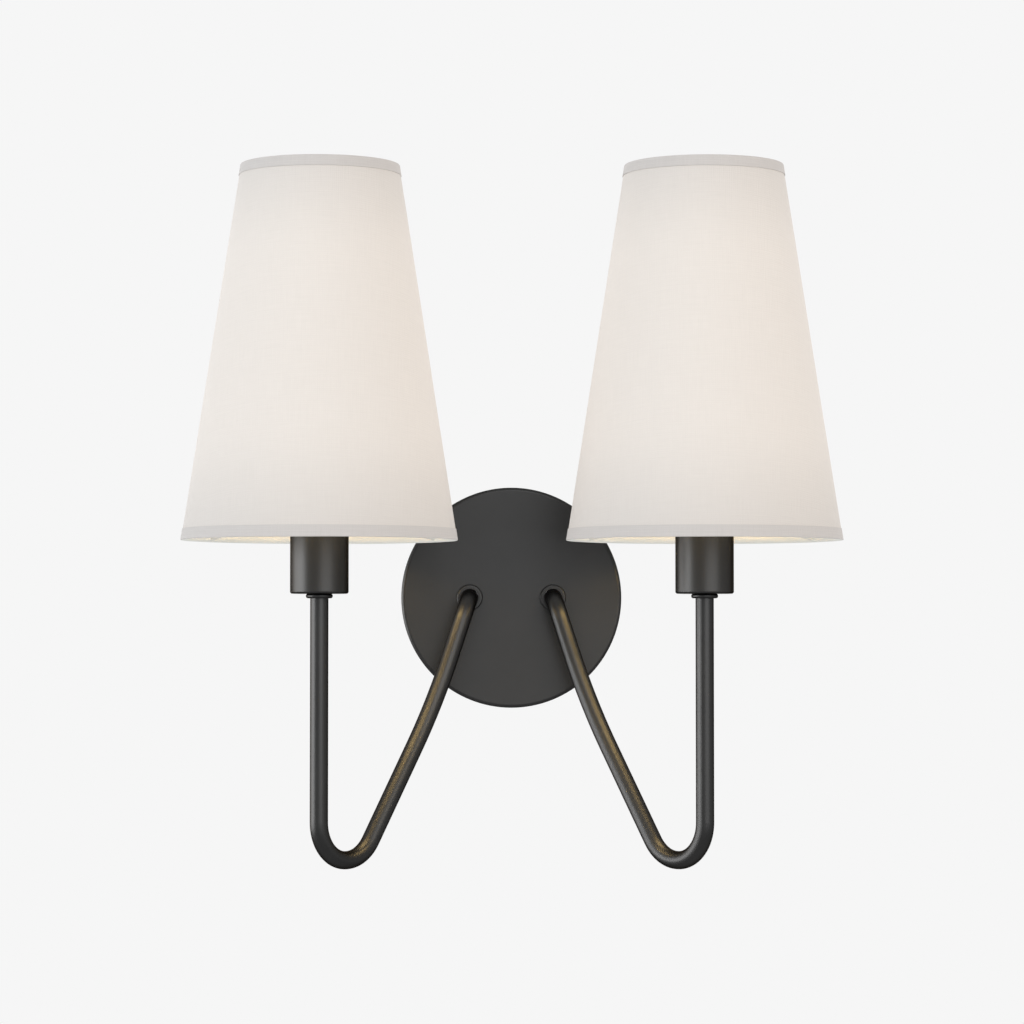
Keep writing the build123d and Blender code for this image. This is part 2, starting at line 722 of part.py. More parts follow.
# ---- the pieces of the two lights: most are mirror images of each other ----
bottom_trim = folded_trim(shade_bottom_height, 1, bottom_trim_height, bottom_hoop_radius)
top_trim = folded_trim(shade_top_height, -1, top_trim_height, top_hoop_radius)
mirrored_pieces = {
    "arm_tube": arm_tube(),
    "exit_collar": exit_collar(),
    "neck_collar": socket_place * neck_collar(),
    "socket_cup": socket_place * socket_cup(),
    "lampholder": socket_place * lampholder(),
    "shade_ring": socket_place * shade_ring(),
    "lamp_base": socket_place * lamp_base(),
    "lamp_glass": socket_place * lamp_glass(),
    "lamp_filaments": socket_place * lamp_filaments(),
    "shade_panel": socket_place * shade_panel(),
    "shade_bottom_trim": socket_place * bottom_trim,
    "shade_top_trim": socket_place * top_trim,
    "shade_top_hoop": socket_place * shade_top_hoop(),
    "shade_bottom_hoop": socket_place * shade_bottom_hoop(),
    "shade_seat_ring": socket_place * shade_seat_ring(),
    "shade_spokes": socket_place * shade_spokes(),
}
for name, shape in mirrored_pieces.items():
    for side, placed in both_sides(shape).items():
        pieces[f"{side}_{name}"] = placed

# The live lead is the inner one in the right arm and the outer one in the left, so that the two
# live leads meet in the left-hand connector and the two neutral leads in the right-hand one.
for side, hot_side, crossing in (("right", -1, rear_crossing), ("left", 1, front_crossing)):
    wiring = {
        "hot_wire": lead(hot_side, crossing),
        "neutral_wire": lead(-hot_side, crossing),
        "centre_contact": socket_place * centre_contact(hot_side),
        "screw_shell": socket_place * screw_shell(-hot_side),
    }
    for name, shape in wiring.items():
        pieces[f"{side}_{name}"] = both_sides(shape)[side]

os.makedirs("parts", exist_ok=True)
for name, shape in pieces.items():
    export_step(shape, f"parts/{name}.step")
    volume = sum(solid.volume for solid in shape.solids())
    print(name, "solids", len(shape.solids()), "volume", round(volume, 1))
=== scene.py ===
# %% [markdown]
# # A double arm wall sconce
# Two linen shades stand on bent metal arms that grow out of one round canopy. The sizes, the
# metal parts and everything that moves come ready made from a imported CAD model. This file
# dresses it: it sets up the studio, gives every surface its finish, and models the cloth.

# %% Load the fixed model
import json
import math

import bpy
from mathutils import Matrix, Vector, noise


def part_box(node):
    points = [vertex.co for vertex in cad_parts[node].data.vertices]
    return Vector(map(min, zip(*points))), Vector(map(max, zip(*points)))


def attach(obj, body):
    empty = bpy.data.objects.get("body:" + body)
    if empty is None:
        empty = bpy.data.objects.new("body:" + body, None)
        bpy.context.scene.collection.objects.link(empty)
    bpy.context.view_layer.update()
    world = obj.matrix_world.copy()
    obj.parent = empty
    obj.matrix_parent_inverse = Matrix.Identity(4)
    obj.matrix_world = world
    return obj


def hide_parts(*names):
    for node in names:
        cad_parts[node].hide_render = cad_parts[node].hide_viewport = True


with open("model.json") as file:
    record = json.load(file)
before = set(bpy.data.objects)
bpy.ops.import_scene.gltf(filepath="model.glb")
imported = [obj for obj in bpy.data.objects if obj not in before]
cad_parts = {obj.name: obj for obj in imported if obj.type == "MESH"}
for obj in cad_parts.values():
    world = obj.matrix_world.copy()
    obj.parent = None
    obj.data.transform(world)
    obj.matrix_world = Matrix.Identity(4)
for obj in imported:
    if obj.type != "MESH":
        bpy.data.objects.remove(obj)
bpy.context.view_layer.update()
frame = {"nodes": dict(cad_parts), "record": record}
nodes = frame["nodes"]

# %% [markdown]
# ## Camera
# The sconce was photographed from straight in front, nearly two metres away, with a long lens.
# A long lens keeps the two tall shades upright and lets only a sliver of their inside show. The
# camera comes first, because how much detail a piece needs depends on how large it appears.
# Distances are in metres here, and the camera's two small turns are in radians.

# %% Camera
FRAME_PIXELS = 1024
FOCAL_PIXELS = 3336.8
SENSOR_WIDTH_MM = 36.0
CAMERA_DISTANCE = 1.9443
CAMERA_SIDE = -0.0075
CAMERA_HEIGHT = -0.0211
CAMERA_PITCH = 0.0366
CAMERA_YAW = -0.0041

camera_data = bpy.data.cameras.new("camera")
camera_data.sensor_width = SENSOR_WIDTH_MM
camera_data.lens = FOCAL_PIXELS / FRAME_PIXELS * SENSOR_WIDTH_MM
camera = bpy.data.objects.new("camera", camera_data)
camera.location = (CAMERA_SIDE, -CAMERA_DISTANCE, CAMERA_HEIGHT)
camera.rotation_euler = (math.pi / 2 + CAMERA_PITCH, 0, CAMERA_YAW)
bpy.context.scene.collection.objects.link(camera)
bpy.context.scene.camera = camera
bpy.context.scene.view_settings.view_transform = "Standard"
print("lens:", round(camera_data.lens, 1), "mm")


# %% [markdown]
# ## Colours and nodes
# Paint charts and colour pickers give sRGB values, but light is added up in linear values, so
# one function turns the first into the second. A second one adds a shader node with its
# settings and links, which keeps each material short enough to read as a recipe. A third one
# starts a material, with the values that are the same all over it on the shader itself.


# %% Three helpers for materials
def linear(hex_colour):
    """Turn an sRGB colour such as #E8E3DA into the linear values that the renderer adds up."""
    values = [int(hex_colour[i : i + 2], 16) / 255 for i in (1, 3, 5)]
    values = [v / 12.92 if v <= 0.04045 else ((v + 0.055) / 1.055) ** 2.4 for v in values]
    return (*values, 1.0)


def add(tree, kind, settings=None, **inputs):
    """Add one node. An input is a value or another node's output; _0 means the first socket."""
    node = tree.nodes.new(kind)
    for name, value in (settings or {}).items():
        setattr(node, name, value)
    for name, value in inputs.items():
        socket = node.inputs[int(name[1:])] if name[1:].isdigit() else node.inputs[name.replace("_", " ")]
        if isinstance(value, bpy.types.NodeSocket):
            tree.links.new(value, socket)
        else:
            socket.default_value = value
    return node


def start(name, colour, roughness, metallic=0.0):
    """A named material with its colour, roughness and metallic set on the shader itself."""
    material = bpy.data.materials.new(name)
    material.use_nodes = True
    tree = material.node_tree
    shader = tree.nodes["Principled BSDF"]
    shader.inputs["Base Color"].default_value = linear(colour)
    shader.inputs["Roughness"].default_value = roughness
    shader.inputs["Metallic"].default_value = metallic
    return material, tree, shader


# %% [markdown]
# ## Studio
# The picture shows the sconce on plain off-white, with no shadow. The world is that colour for
# the camera and for what mirrors or lets light through, and a softer level for everything else,
# so that the backdrop can be bright without washing out the linen.

# %% Backdrop
BACKDROP_COLOUR = "#F6F6F6"
AMBIENT_STRENGTH = 0.69

world = bpy.data.worlds.new("studio")
bpy.context.scene.world = world
world.use_nodes = True
air = world.node_tree
air.nodes.clear()
rays = add(air, "ShaderNodeLightPath").outputs
larger = {"operation": "MAXIMUM"}
seen = add(air, "ShaderNodeMath", larger, _0=rays["Is Camera Ray"], _1=rays["Is Glossy Ray"])
seen = add(air, "ShaderNodeMath", larger, _0=seen.outputs[0], _1=rays["Is Transmission Ray"])
ambient = add(air, "ShaderNodeBackground", Color=linear("#FFFFFF"), Strength=AMBIENT_STRENGTH)
backdrop = add(air, "ShaderNodeBackground", Color=linear(BACKDROP_COLOUR), Strength=1.0)
sky = add(air, "ShaderNodeMixShader", _0=seen.outputs[0], _1=ambient.outputs[0], _2=backdrop.outputs[0])
add(air, "ShaderNodeOutputWorld", Surface=sky.outputs[0])

# %% [markdown]
# A pale floor lies as far below as a wall light hangs above one. Where the camera sees it, it
# glows a little, which brings it up to the backdrop's level and still lets a shadow show on it.

# %% Floor
FLOOR_HEIGHT = -2.2
FLOOR_SIZE = 12.0
FLOOR_COLOUR = "#F2F2F2"
FLOOR_GLOW = 0.29

half = FLOOR_SIZE / 2
floor_corners = [(-half, -half, 0), (half, -half, 0), (half, half, 0), (-half, half, 0)]
floor_mesh = bpy.data.meshes.new("floor")
floor_mesh.from_pydata(floor_corners, [], [(0, 1, 2, 3)])
floor_paint, floor_tree, floor_shader = start("matte_pale_floor", FLOOR_COLOUR, roughness=0.9)
floor_shader.inputs["Emission Color"].default_value = linear("#FFFFFF")
to_camera = add(floor_tree, "ShaderNodeLightPath").outputs["Is Camera Ray"]
glow = add(floor_tree, "ShaderNodeMath", {"operation": "MULTIPLY"}, _0=to_camera, _1=FLOOR_GLOW)
floor_tree.links.new(glow.outputs[0], floor_shader.inputs["Emission Strength"])
floor_mesh.materials.append(floor_paint)
floor = bpy.data.objects.new("floor", floor_mesh)
floor.location.z = FLOOR_HEIGHT
bpy.context.scene.collection.objects.link(floor)
print("floor:", FLOOR_SIZE, "metres wide, at height", FLOOR_HEIGHT)

# %% [markdown]
# ## Lights
# Satin metal shows the lamps of the studio as soft bands, and linen shows only how much light
# falls on it. The picture has one bright band on the left of each tube, a weaker one right of
# the middle, and cloth that is even, a little cooler on the left and warmer on the right. One
# set of lamps can't do both, so some softboxes light only what shines and some only what is
# matte, as flags and grids would arrange it in a real studio.

# %% Softboxes
SOFTBOX_DISTANCE = 1.9
SOFTBOX_TARGET = (0, -0.1, 0.05)
SOFTBOXES = {
    # name: (degrees to the right of the camera, height, width, tall, brightness, colour, lights)
    "left_strip": (-88, -0.1, 2.4, 1.0, 7.1, "#FFFFFF", "shiny"),
    "right_strip": (26, 0.45, 1.65, 1.4, 2.9, "#FFFFFF", "shiny"),
    "left_softbox": (-62, 0.5, 0.8, 1.2, 1.7, "#F2FAFF", "all"),
    "front_softbox": (0, 0.95, 1.6, 0.8, 0.9, "#FFFFFF", "all"),
    "left_fill": (-40, 0.5, 1.0, 1.4, 0.95, "#F2F7FF", "matte"),
    "right_fill": (50, 0.5, 1.0, 1.4, 1.65, "#FFEFDF", "matte"),
    "rear_left_softbox": (-150, 0.9, 1.0, 1.0, 2.0, "#FFFFFF", "all"),
    "rear_right_softbox": (150, 0.9, 1.0, 1.0, 1.6, "#FFFFFF", "all"),
}


def light_at(name, kind, spot, watts, colour):
    """Put a light with its power and colour in its place. The camera itself never sees it."""
    data = bpy.data.lights.new(name, kind)
    data.energy = watts
    data.color = linear(colour)[:3]
    lamp = bpy.data.objects.new(name, data)
    lamp.location = spot
    lamp.visible_camera = False
    bpy.context.scene.collection.objects.link(lamp)
    return lamp


def softbox(name, azimuth, height, width, tall, brightness, colour, lights):
    """A rectangular lamp on a circle round the sconce, facing it; brightness 1 looks white."""
    turn = math.radians(azimuth)
    spot = (SOFTBOX_DISTANCE * math.sin(turn), -SOFTBOX_DISTANCE * math.cos(turn), height)
    lamp = light_at(name, "AREA", spot, brightness * math.pi * width * tall, colour)
    lamp.data.shape = "RECTANGLE"
    lamp.data.size, lamp.data.size_y = width, tall
    aim = Vector(SOFTBOX_TARGET) - lamp.location
    lamp.rotation_euler = aim.to_track_quat("-Z", "Y").to_euler()
    lamp.visible_diffuse = lights != "shiny"
    lamp.visible_glossy = lights != "matte"


for name, values in SOFTBOXES.items():
    softbox(name, *values)
print("softboxes:", len(SOFTBOXES))

# %% [markdown]
# The two lamps are lit. A small warm light in each bulb brightens the inside of its shade, and
# what falls out of the shade's mouth puts golden streaks on the arms and a brown tone on top of
# the cups. A flat round light in the mouth stands for that, and it lights only what shines. The
# bulb's light is hidden behind glass too, so that the filaments show, and neither the glass nor
# the filaments cast a shadow of it on the shade.

# %% The lit lamps
LAMP_WATTS = 0.05
LAMP_COLOUR = "#FFFAF0"
LAMP_LIGHT_RADIUS = 0.01
MOUTH_RADIUS = 0.062
MOUTH_HEIGHT = 0.06
MOUTH_BRIGHTNESS = 15.0
MOUTH_COLOUR = "#FFDA94"

mouth_watts = MOUTH_BRIGHTNESS * (math.pi * MOUTH_RADIUS) ** 2
for side in ("left", "right"):
    low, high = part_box(f"{side}_lamp_glass")
    middle = (low + high) / 2
    bulb = light_at(f"{side}_lamp_light", "POINT", middle, LAMP_WATTS, LAMP_COLOUR)
    bulb.data.shadow_soft_size = LAMP_LIGHT_RADIUS
    bulb.visible_transmission = False
    mouth_spot = (middle.x, middle.y, MOUTH_HEIGHT)
    mouth = light_at(f"{side}_mouth_light", "AREA", mouth_spot, mouth_watts, MOUTH_COLOUR)
    mouth.data.shape = "DISK"
    mouth.data.size = 2 * MOUTH_RADIUS
    mouth.visible_diffuse = False
    for part in ("lamp_glass", "lamp_filaments"):
        nodes[f"{side}_{part}"].visible_shadow = False
print("light in each shade's mouth:", round(mouth_watts, 3), "watts")

# %% [markdown]
# ## Metal finishes
# A material starts from what the real one is, and its numbers come after. The scene's unit is
# the metre, so a pattern of a given size in millimetres needs a texture scale of 1000 divided
# by that size. Colour and roughness that drift a little keep a surface from looking computed.


# %% Patterns for the finishes
def cells(size_mm):
    """The texture scale that makes a pattern's features about this many millimetres wide."""
    return 1000 / size_mm


def mottle(tree, shader, place, tones, size_mm, roughness):
    """Let colour and roughness drift between two values, in clouds of the given size."""
    cloud = add(tree, "ShaderNodeTexNoise", Vector=place, Scale=cells(size_mm), Detail=4.0)
    low, high = (linear(tone) for tone in tones)
    tone = add(tree, "ShaderNodeMix", {"data_type": "RGBA"}, Factor=cloud.outputs["Fac"], _6=low, _7=high)
    tree.links.new(tone.outputs[2], shader.inputs["Base Color"])
    smoothest, roughest = roughness
    gloss = add(tree, "ShaderNodeMapRange", Value=cloud.outputs["Fac"], To_Min=smoothest, To_Max=roughest)
    tree.links.new(gloss.outputs[0], shader.inputs["Roughness"])


def grain(tree, shader, place, size_mm, depth_mm):
    """A fine bump, such as a lacquer's orange peel or the skin of a moulding."""
    peel = add(tree, "ShaderNodeTexNoise", Vector=place, Scale=cells(size_mm), Detail=2.0)
    bump = add(tree, "ShaderNodeBump", Height=peel.outputs["Fac"], Distance=depth_mm / 1000, Strength=1.0)
    tree.links.new(bump.outputs[0], shader.inputs["Normal"])


def brushed(tree, place, along, size_mm, length_mm):
    """Streaks that run along X, Y or Z: a noise that is stretched in that direction."""
    scale = [cells(length_mm) if axis == along else cells(size_mm) for axis in "XYZ"]
    stretched = add(tree, "ShaderNodeMapping", Vector=place, Scale=scale)
    return add(tree, "ShaderNodeTexNoise", Vector=stretched.outputs[0], Scale=1.0, Detail=3.0).outputs["Fac"]


# %% [markdown]
# Dark bronze finish: steel that was plated, darkened with a chemical wash, rubbed back and
# sealed with satin lacquer. It reads as a metal with a very dark, faintly brown reflection, and
# it stays dark towards the outline of a tube, which the metal's edge tint gives.


# %% Dark bronze
def dark_bronze():
    """Satin lacquer over darkened metal, with the fine orange peel of a sprayed coat."""
    material, tree, shader = start("dark_bronze_satin_lacquer", "#363636", roughness=0.38, metallic=1.0)
    shader.inputs["Specular Tint"].default_value = linear("#9C9894")
    place = add(tree, "ShaderNodeTexCoord").outputs["Object"]
    mottle(tree, shader, place, ("#333333", "#393939"), size_mm=35, roughness=(0.35, 0.42))
    grain(tree, shader, place, size_mm=0.9, depth_mm=0.004)
    return material


# %% [markdown]
# Zinc plate is what bolts, nuts and brackets from a hardware shop wear: a bright, faintly blue
# grey metal, thin enough for the rolling marks of the steel under it to show as streaks.

# %% Zinc plate, dyed zinc, black oxide, tin
ROLLING_MARK_MM = (0.5, 14)
ROLLING_DEPTH_MM = 0.01


def plated(name, colour, streaked, roughness, along="Z"):
    """A thin plating, whose rolling marks run along X, Y or Z and are lighter and a little duller."""
    material, tree, shader = start(name, colour, roughness, metallic=1.0)
    place = add(tree, "ShaderNodeTexCoord").outputs["Object"]
    marks = brushed(tree, place, along, *ROLLING_MARK_MM)
    low, high = linear(colour), linear(streaked)
    tone = add(tree, "ShaderNodeMix", {"data_type": "RGBA"}, Factor=marks, _6=low, _7=high)
    tree.links.new(tone.outputs[2], shader.inputs["Base Color"])
    gloss = add(tree, "ShaderNodeMapRange", Value=marks, To_Min=roughness - 0.06, To_Max=roughness + 0.08)
    tree.links.new(gloss.outputs[0], shader.inputs["Roughness"])
    bump = add(tree, "ShaderNodeBump", Height=marks, Distance=ROLLING_DEPTH_MM / 1000, Strength=1.0)
    tree.links.new(bump.outputs[0], shader.inputs["Normal"])
    return material


# %% [markdown]
# The lampholder and the round nut on it are moulded in a white heat-proof plastic. It is a dense,
# slightly warm white with a soft shine, and a faint skin where the mould was not polished. The
# wire connectors and the insulation of the leads are glossier and softer plastics.


# %% Moulded plastics
def moulded(name, tones, roughness, skin_mm, depth_mm):
    """A plastic between two tones, with the skin that the mould's own surface leaves on it."""
    material, tree, shader = start(name, tones[0], roughness)
    shader.inputs["IOR"].default_value = 1.5
    place = add(tree, "ShaderNodeTexCoord").outputs["Object"]
    mottle(tree, shader, place, tones, size_mm=9, roughness=(roughness - 0.05, roughness + 0.05))
    grain(tree, shader, place, skin_mm, depth_mm)
    return material


# %% [markdown]
# Brass contacts are stamped from strip and left bare, so they tarnish in soft clouds from bright
# yellow to a duller brown. The lamp's cap is rolled from nickel-plated brass.


# %% Brass and nickel
def bare_metal(name, tones, size_mm, roughness):
    """Uncoated metal, tarnished in clouds of the given size between two tones."""
    material, tree, shader = start(name, tones[0], roughness[0], metallic=1.0)
    place = add(tree, "ShaderNodeTexCoord").outputs["Object"]
    mottle(tree, shader, place, tones, size_mm, roughness)
    grain(tree, shader, place, size_mm=1.6, depth_mm=0.006)
    return material


# %% [markdown]
# Clear glass is colourless and nearly free of roughness, with the glass's own IOR of 1.5. What
# makes it read as blown glass is its slightly uneven wall.


# %% Glass
def blown_glass():
    """Clear glass whose wall has the long shallow waves of a blown bulb."""
    material, tree, shader = start("blown_clear_glass", "#F7F8F5", roughness=0.02)
    shader.inputs["Transmission Weight"].default_value = 1.0
    shader.inputs["IOR"].default_value = 1.5
    place = add(tree, "ShaderNodeTexCoord").outputs["Object"]
    grain(tree, shader, place, size_mm=14, depth_mm=0.05)
    return material


# %% [markdown]
# The filaments are strips with a row of tiny light sources under a coat of yellow phosphor.
# Because the lamps are lit they shine by themselves, a little unevenly where the coat is lumpy.

# %% Filaments
FILAMENT_GLOW = 6.0
FILAMENT_TONES = ("#FFE2A6", "#FFC061")
PHOSPHOR_LUMP_MM = 1.2


def lit_filament():
    """A phosphor coat that glows between two tones, from the middle of each lump to its edge."""
    material, tree, shader = start("lit_phosphor_filament", "#FFC766", roughness=0.5)
    place = add(tree, "ShaderNodeTexCoord").outputs["Object"]
    lumps = add(tree, "ShaderNodeTexVoronoi", Vector=place, Scale=cells(PHOSPHOR_LUMP_MM))
    low, high = (linear(tone) for tone in FILAMENT_TONES)
    mixed = {"data_type": "RGBA"}
    glow = add(tree, "ShaderNodeMix", mixed, Factor=lumps.outputs["Distance"], _6=low, _7=high)
    tree.links.new(glow.outputs[2], shader.inputs["Emission Color"])
    shader.inputs["Emission Strength"].default_value = FILAMENT_GLOW
    return material


# %% [markdown]
# The wire frame inside each shade is dipped in white enamel. The coat is glossy and thick, and
# it gathers a little, so its surface has long soft waves and no sharp marks.


# %% White enamel
def white_enamel():
    """A thick dipped coat, under a thin clear layer that stands for its depth."""
    material, tree, shader = start("dipped_white_enamel", "#E9E7E1", roughness=0.3)
    shader.inputs["IOR"].default_value = 1.5
    shader.inputs["Coat Weight"].default_value = 0.4
    place = add(tree, "ShaderNodeTexCoord").outputs["Object"]
    mottle(tree, shader, place, ("#E4E1D9", "#EEECE6"), size_mm=18, roughness=(0.26, 0.36))
    grain(tree, shader, place, size_mm=5, depth_mm=0.03)
    return material


# %% [markdown]
# ## Linen
# The shade is covered in white linen, a plain weave of yarns that are thick in some places and
# thin in others. Linen has no shine. Each yarn catches the light on its rounded back, and the
# thick stretches, called slubs, draw short level and upright dashes. The bump shows that, and the
# colour paints it in as well, as a painted highlight a little lighter on the crowns of the yarns.
# Real yarns lie 0.5 mm apart, which is finer than a pixel here, so the weave is drawn at 1.1 mm
# and kept faint.

# %% Woven linen
YARN_MM = 1.1
SLUB_MM = (0.9, 16)
WEAVE_SHARE = 0.4
RELIEF_MM = 0.12
RELIEF_RANGE = (0.6, 1.5)


def stripes(pitch_mm):
    """The wave texture's scale for a given distance between stripes; its own period is 0.314."""
    return 0.314 * cells(pitch_mm)


def woven(name, tones):
    """Linen on a UV map in metres, so that the yarns lie as they do on the flat cut."""
    material, tree, shader = start(name, tones[0], roughness=0.9)
    shader.inputs["Sheen Weight"].default_value = 0.12
    shader.inputs["Sheen Roughness"].default_value = 0.5
    shader.inputs["Specular IOR Level"].default_value = 0.25
    flat = add(tree, "ShaderNodeUVMap", {"uv_map": "flat"}).outputs[0]
    pitch = stripes(YARN_MM)
    yarns, slubs = [], []
    for along, across in (("X", "Y"), ("Y", "X")):
        bands = {"bands_direction": across}
        wave = add(tree, "ShaderNodeTexWave", bands, Vector=flat, Scale=pitch, Distortion=1.2, Detail=1.0)
        yarns.append(wave.outputs["Fac"])
        slubs.append(brushed(tree, flat, along, *SLUB_MM))
    weave = add(tree, "ShaderNodeMath", {"operation": "MULTIPLY"}, _0=yarns[0], _1=yarns[1]).outputs[0]
    slub = add(tree, "ShaderNodeMath", {"operation": "ADD"}, _0=slubs[0], _1=slubs[1]).outputs[0]
    both = {"operation": "MULTIPLY_ADD"}
    relief = add(tree, "ShaderNodeMath", both, _0=weave, _1=WEAVE_SHARE, _2=slub).outputs[0]
    bump = add(tree, "ShaderNodeBump", Height=relief, Distance=RELIEF_MM / 1000, Strength=0.5)
    tree.links.new(bump.outputs[0], shader.inputs["Normal"])
    # The colour follows the relief as well as the bump does. The crowns of the yarns and the slubs are
    # painted a little lighter, a painted highlight for the light that they catch.
    valley, crown = RELIEF_RANGE
    painted_crown_highlight = add(tree, "ShaderNodeMapRange", Value=relief, From_Min=valley, From_Max=crown).outputs[0]
    low, high = (linear(tone) for tone in tones)
    tone = add(tree, "ShaderNodeMix", {"data_type": "RGBA"}, Factor=painted_crown_highlight, _6=low, _7=high)
    tree.links.new(tone.outputs[2], shader.inputs["Base Color"])
    return material


# %% [markdown]
# The lamps are lit, so light also comes through the cloth: most of it at the height of the bulb,
# less towards the rims. That is a property of the place on the shade and not of the camera, so
# the material can hold it as a faint emission that fades towards both ends.

# %% Light through the linen
LINEN_TONES = ("#D9D4CF", "#DED9D4")
LINEN_GLOW = "#655F58"
LINEN_GLOW_HEIGHTS = (0.020, 0.095, 0.178, 0.254)


def backlit(material, colour, heights):
    """Add a glow that is full between the two middle heights and fades out at the outer ones."""
    tree = material.node_tree
    shader = tree.nodes["Principled BSDF"]
    place = add(tree, "ShaderNodeTexCoord").outputs["Object"]
    height = add(tree, "ShaderNodeSeparateXYZ", Vector=place).outputs["Z"]
    smooth = {"interpolation_type": "SMOOTHSTEP"}
    low, full, fading, high = heights
    rise = add(tree, "ShaderNodeMapRange", smooth, Value=height, From_Min=low, From_Max=full).outputs[0]
    fall = add(tree, "ShaderNodeMapRange", smooth, Value=height, From_Min=high, From_Max=fading).outputs[0]
    share = add(tree, "ShaderNodeMath", {"operation": "MULTIPLY"}, _0=rise, _1=fall).outputs[0]
    dark, bright = linear("#000000"), linear(colour)
    glow = add(tree, "ShaderNodeMix", {"data_type": "RGBA"}, Factor=share, _6=dark, _7=bright)
    tree.links.new(glow.outputs[2], shader.inputs["Emission Color"])
    shader.inputs["Emission Strength"].default_value = 1.0
    return material


# %% [markdown]
# Behind the linen is a liner of white styrene sheet, whose inner face is matted so that it shows
# no image of the bulb: the shader's specular level is low for that. A lit shade passes its light
# from wall to wall many times, so its inside is even and nowhere dark. A faint emission stands
# for those many bounces, which leaves the bulb's own light low enough that the part beside it
# isn't washed out.


# %% The liner behind the linen
def styrene_liner():
    """A matted white plastic sheet, rolled into a cone, that the linen is glued to."""
    material, tree, shader = start("rolled_white_styrene", "#D2D0C9", roughness=0.5)
    shader.inputs["IOR"].default_value = 1.5
    shader.inputs["Specular IOR Level"].default_value = 0.1
    shader.inputs["Emission Color"].default_value = linear("#979188")
    shader.inputs["Emission Strength"].default_value = 1.0
    place = add(tree, "ShaderNodeTexCoord").outputs["Object"]
    mottle(tree, shader, place, ("#CFCCC5", "#D6D3CC"), size_mm=24, roughness=(0.42, 0.56))
    grain(tree, shader, place, size_mm=3, depth_mm=0.01)
    return material


# %% [markdown]
# The tapes fold over the rims, so one stretch of each is outside in the room's light and the other
# is inside, beside the bulb. It is the same tape, but the inner stretch also takes part in the
# many bounces, so it has a second material with that light added.

# %% The stretch of tape inside the shade
TAPE_TONES = ("#CCC8C5", "#D3CFCC")
TAPE_GLOW = "#80857F"


def lamplit_tape():
    """The same tape with a faint emission, for the faces that look into the lit shade."""
    material = woven("lamplit_linen_tape", TAPE_TONES)
    shader = material.node_tree.nodes["Principled BSDF"]
    shader.inputs["Emission Color"].default_value = linear(TAPE_GLOW)
    shader.inputs["Emission Strength"].default_value = 1.0
    return material


# %% [markdown]
# ## Every finish in its place
# Each piece of the model names a slot for its finish, so one table from slot to material dresses
# them all. Plated parts give two tones and a roughness, plastics also the size and depth of their
# skin in millimetres, and bare metals the size of their clouds and a range of roughness.

# %% The finishes, by the name of the slot
finishes = {
    "bronze_finish": dark_bronze(),
    "zinc_plate": plated("bright_zinc_plate", "#B4B7BA", "#C9CBCC", 0.3),
    "black_screws": plated("black_oxide_steel", "#232220", "#35332F", 0.42),
    "green_screw": plated("green_dyed_zinc", "#2E7A45", "#4C9A5E", 0.32),
    "tinned_copper": plated("tinned_copper_stamping", "#BDBAB4", "#D0CDC6", 0.34, along="X"),
    "connector_plastic": moulded("orange_thermoplastic", ("#D9691F", "#E0752B"), 0.38, 1.5, 0.02),
    "lampholder_white": moulded("white_heatproof_moulding", ("#DEDBD1", "#E6E3DA"), 0.45, 1.2, 0.015),
    "brass_contacts": bare_metal("stamped_brass_strip", ("#C79A4B", "#B2863F"), 7, (0.24, 0.42)),
    "black_insulation": moulded("black_vinyl_insulation", ("#1A1A1A", "#232322"), 0.42, 1.0, 0.01),
    "white_insulation": moulded("white_vinyl_insulation", ("#DAD9D3", "#E4E3DE"), 0.42, 1.0, 0.01),
    "green_insulation": moulded("green_vinyl_insulation", ("#1F6B33", "#277A3E"), 0.42, 1.0, 0.01),
    "linen": backlit(woven("woven_white_linen", LINEN_TONES), LINEN_GLOW, LINEN_GLOW_HEIGHTS),
    "linen_tape": woven("folded_linen_tape", TAPE_TONES),
    "white_enamel": white_enamel(),
    "lamp_cap": bare_metal("rolled_nickel_cap", ("#BFB8AC", "#CCC6BB"), 6, (0.2, 0.32)),
    "lamp_glass": blown_glass(),
    "filament": lit_filament(),
}
for subpart in frame["record"]["subparts"]:
    surface = nodes[subpart["node"]].data
    surface.materials.clear()
    surface.materials.append(finishes[subpart["material_slot"]])
print("finishes:", len(finishes))

# %% [markdown]
# ## The cloth of the shades
# A tapered shade is covered with one flat piece of linen, cut as a sector of a ring and glued to
# a plastic liner of the same cut. It is rolled into a cone, and one end laps over the other in an
# upright seam, which faces the wall. Tape that is folded over each rim hides the raw edge and
# wraps the wire hoop inside. A turned solid has no seam and no folded edge, so each layer is
# built here as a strip with a thickness that goes once round and a little further.

# %% Thicknesses and laps, and the shade's own sizes as measured on the model
TAPE_THICKNESS = 0.0003
GLUE_GAP = 0.00005
LINEN_THICKNESS = 0.00025
LINER_THICKNESS = 0.00078
HOOP_WIRE_RADIUS = 0.00125
SEAM_LAP = 0.012
TAPE_LAP = 0.010
SEAM_ANGLE = math.pi / 2

bottom_low, bottom_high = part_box("right_shade_bottom_trim")
top_low, top_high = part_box("right_shade_top_trim")
hoop_low, hoop_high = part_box("right_shade_top_hoop")
hoop_centre = (hoop_low.z + hoop_high.z) / 2
rim_radius = (bottom_high.x - bottom_low.x) / 2
band_radius = (top_high.x - top_low.x) / 2
slope = (rim_radius - band_radius) / (top_low.z - bottom_low.z)
lean = math.atan(slope)
shade_axes = {side: sum(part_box(f"{side}_shade_bottom_trim"), Vector()) / 2 for side in ("left", "right")}
print("shade: bottom radius", round(rim_radius, 4), "lean", round(math.degrees(lean), 2), "degrees")


def layer_radius(height, depth):
    """The cone's radius at a height, a given depth under the outer face of the tapes."""
    return rim_radius - slope * (height - bottom_low.z) - depth / math.cos(lean)


# %% [markdown]
# Every layer is the same job: take a cross-section, which is an outer line and an inner line of
# as many points, and carry it round the axis. Before its lap the strip climbs its own thickness,
# so that its end lies on its beginning, as the real overlap does. The liner's end goes under its
# beginning instead, so that the two laps don't share one place. A slow noise moves the surface by
# less than a tenth of a millimetre, enough to break up its reflections.


